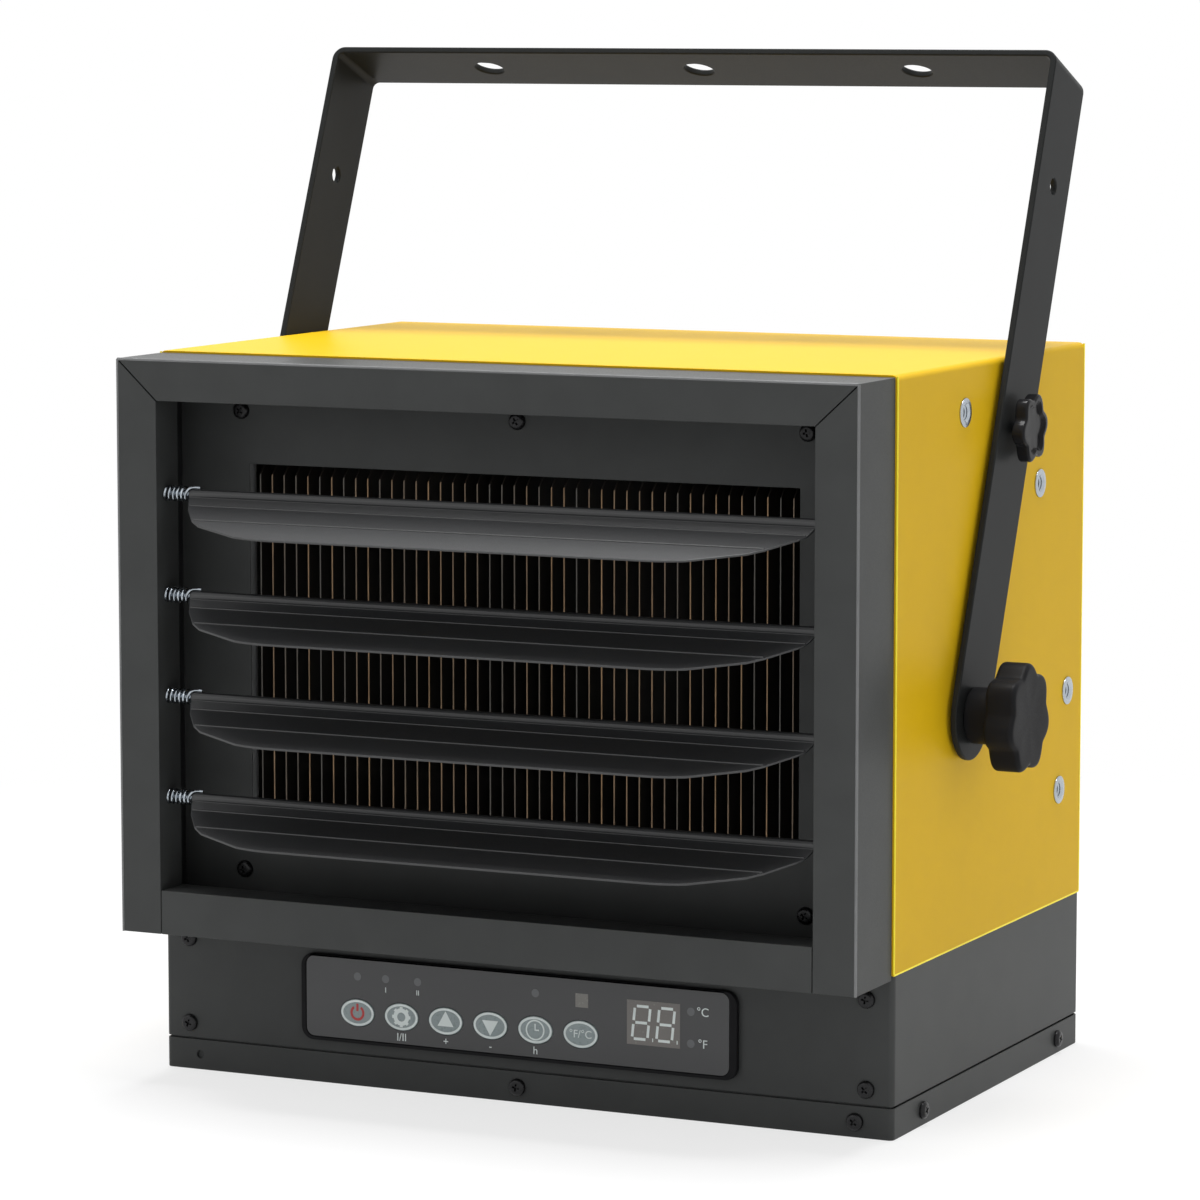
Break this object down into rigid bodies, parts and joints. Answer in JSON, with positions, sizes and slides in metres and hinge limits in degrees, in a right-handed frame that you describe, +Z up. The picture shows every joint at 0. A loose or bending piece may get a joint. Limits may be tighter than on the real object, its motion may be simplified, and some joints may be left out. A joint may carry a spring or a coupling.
{
  "type": "garage heater",
  "caption": "Louvred electric fan heater in a folded steel case on a control base, hung or stood from a tilting U-shaped strap bracket with star knobs.",
  "frame": {"origin": "centre of the base's underside, midway between the case's front and back", "axes": "+X to the heater's right as seen from the front, +Y to its back, +Z up"},
  "size_m": [0.4244, 0.316, 0.4653],
  "materials": {
    "yellow_paint": "satin powder coat",
    "charcoal_paint": "fine textured powder coat",
    "zinc_steel": "zinc plated",
    "fin_metal": "dull bronze",
    "element_steel": "heat stained",
    "ceramic": "glazed ceramic",
    "motor_paint": "semi gloss",
    "fan_metal": "mill finish",
    "black_plastic": "satin",
    "gloss_black": "gloss",
    "key_film": "gloss film",
    "key_grey": "satin",
    "circuit_board": "solder mask",
    "display_lens": "gloss",
    "lamp_red": "clear"
  },
  "bodies": {
    "root": {"case_wrap": "yellow_paint", "base_housing": "charcoal_paint", "base_tray": "charcoal_paint", "core_panel": "charcoal_paint", "bezel_hood": "charcoal_paint", "bezel_bottom_rail": "charcoal_paint", "rear_panel": "charcoal_paint", "rear_guard": "charcoal_paint", "case_floor": "zinc_steel", "motor_strap": "zinc_steel", "element_end_plates": "zinc_steel", "rivet_nuts": "zinc_steel", "pivot_nuts": "zinc_steel", "pivot_washers": "zinc_steel", "case_screws": "zinc_steel", "louvre_springs": "zinc_steel", "board_standoffs": "zinc_steel", "heater_fins": "fin_metal", "heater_elements": "element_steel", "thermal_cutout": "element_steel", "element_terminals": "ceramic", "fan_motor": "motor_paint", "control_frame": "black_plastic", "cable_gland": "black_plastic", "terminal_block": "black_plastic", "key_switches": "black_plastic", "power_relays": "black_plastic", "remote_receiver": "gloss_black", "control_film": "key_film", "control_board": "circuit_board", "relay_board": "circuit_board", "display_module": "display_lens", "indicator_leds": "lamp_red"},
    "bracket": {"bracket": "charcoal_paint"},
    "fan": {"fan_wheel": "fan_metal", "fan_shaft": "zinc_steel"},
    "pivot_stud_right": {"pivot_stud_right": "zinc_steel"},
    "pivot_knob_right": {"pivot_knob_right": "black_plastic"},
    "lock_stud_right": {"lock_stud_right": "zinc_steel"},
    "lock_knob_right": {"lock_knob_right": "gloss_black"},
    "pivot_stud_left": {"pivot_stud_left": "zinc_steel"},
    "pivot_knob_left": {"pivot_knob_left": "black_plastic"},
    "lock_stud_left": {"lock_stud_left": "zinc_steel"},
    "lock_knob_left": {"lock_knob_left": "gloss_black"},
    "louvre_1": {"louvre_1": "charcoal_paint", "louvre_rod_1": "zinc_steel"},
    "louvre_2": {"louvre_2": "charcoal_paint", "louvre_rod_2": "zinc_steel"},
    "louvre_3": {"louvre_3": "charcoal_paint", "louvre_rod_3": "zinc_steel"},
    "louvre_4": {"louvre_4": "charcoal_paint", "louvre_rod_4": "zinc_steel"},
    "key_power": {"key_power": "key_grey"},
    "key_mode": {"key_mode": "key_grey"},
    "key_up": {"key_up": "key_grey"},
    "key_down": {"key_down": "key_grey"},
    "key_timer": {"key_timer": "key_grey"},
    "key_unit": {"key_unit": "key_grey"}
  },
  "joints": [
    {"name": "bracket_tilt", "type": "hinge", "parent": "root", "child": "bracket", "pos_m": [0, -0.037, 0.1754], "axis": [-1, 0, 0], "range_deg": [-22.5, 90]},
    {"name": "pivot_slide_right", "type": "slide", "parent": "root", "child": "pivot_stud_right", "axis": [1, 0, 0], "range_m": [0, 0.0025]},
    {"name": "pivot_turn_right", "type": "hinge", "parent": "pivot_stud_right", "child": "pivot_knob_right", "pos_m": [0, -0.037, 0.1754], "axis": [1, 0, 0], "range_deg": [0, 720]},
    {"name": "lock_slide_right", "type": "slide", "parent": "bracket", "child": "lock_stud_right", "axis": [-1, 0, 0], "range_m": [0, 0.003]},
    {"name": "lock_turn_right", "type": "hinge", "parent": "lock_stud_right", "child": "lock_knob_right", "pos_m": [0, 0.0139, 0.29828], "axis": [-1, 0, 0], "range_deg": [0, 1080]},
    {"name": "pivot_slide_left", "type": "slide", "parent": "root", "child": "pivot_stud_left", "axis": [-1, 0, 0], "range_m": [0, 0.0025]},
    {"name": "pivot_turn_left", "type": "hinge", "parent": "pivot_stud_left", "child": "pivot_knob_left", "pos_m": [0, -0.037, 0.1754], "axis": [-1, 0, 0], "range_deg": [0, 720]},
    {"name": "lock_slide_left", "type": "slide", "parent": "bracket", "child": "lock_stud_left", "axis": [1, 0, 0], "range_m": [0, 0.003]},
    {"name": "lock_turn_left", "type": "hinge", "parent": "lock_stud_left", "child": "lock_knob_left", "pos_m": [0, 0.0139, 0.29828], "axis": [1, 0, 0], "range_deg": [0, 1080]},
    {"name": "louvre_1_tilt", "type": "hinge", "parent": "root", "child": "louvre_1", "pos_m": [0, -0.147, 0.2688], "axis": [1, 0, 0], "range_deg": [-30, 50]},
    {"name": "louvre_2_tilt", "type": "hinge", "parent": "root", "child": "louvre_2", "pos_m": [0, -0.147, 0.2232], "axis": [1, 0, 0], "range_deg": [-30, 50]},
    {"name": "louvre_3_tilt", "type": "hinge", "parent": "root", "child": "louvre_3", "pos_m": [0, -0.147, 0.1776], "axis": [1, 0, 0], "range_deg": [-30, 50]},
    {"name": "louvre_4_tilt", "type": "hinge", "parent": "root", "child": "louvre_4", "pos_m": [0, -0.147, 0.132], "axis": [1, 0, 0], "range_deg": [-30, 50]},
    {"name": "key_power_press", "type": "slide", "parent": "root", "child": "key_power", "axis": [0, 1, 0], "range_m": [0, 0.0005], "stiffness_N_per_m": 800},
    {"name": "key_mode_press", "type": "slide", "parent": "root", "child": "key_mode", "axis": [0, 1, 0], "range_m": [0, 0.0005], "stiffness_N_per_m": 800},
    {"name": "key_up_press", "type": "slide", "parent": "root", "child": "key_up", "axis": [0, 1, 0], "range_m": [0, 0.0005], "stiffness_N_per_m": 800},
    {"name": "key_down_press", "type": "slide", "parent": "root", "child": "key_down", "axis": [0, 1, 0], "range_m": [0, 0.0005], "stiffness_N_per_m": 800},
    {"name": "key_timer_press", "type": "slide", "parent": "root", "child": "key_timer", "axis": [0, 1, 0], "range_m": [0, 0.0005], "stiffness_N_per_m": 800},
    {"name": "key_unit_press", "type": "slide", "parent": "root", "child": "key_unit", "axis": [0, 1, 0], "range_m": [0, 0.0005], "stiffness_N_per_m": 800},
    {"name": "fan_spin", "type": "hinge", "parent": "root", "child": "fan", "pos_m": [0, 0.0946, 0.201], "axis": [0, 1, 0], "continuous": true}
  ],
  "couplings": [
    {"joint": "pivot_turn_right", "follows": "pivot_slide_right", "rad_per_m": 5026.5},
    {"joint": "lock_turn_right", "follows": "lock_slide_right", "rad_per_m": 6283.2},
    {"joint": "pivot_turn_left", "follows": "pivot_slide_left", "rad_per_m": 5026.5},
    {"joint": "lock_turn_left", "follows": "lock_slide_left", "rad_per_m": 6283.2}
  ]
}
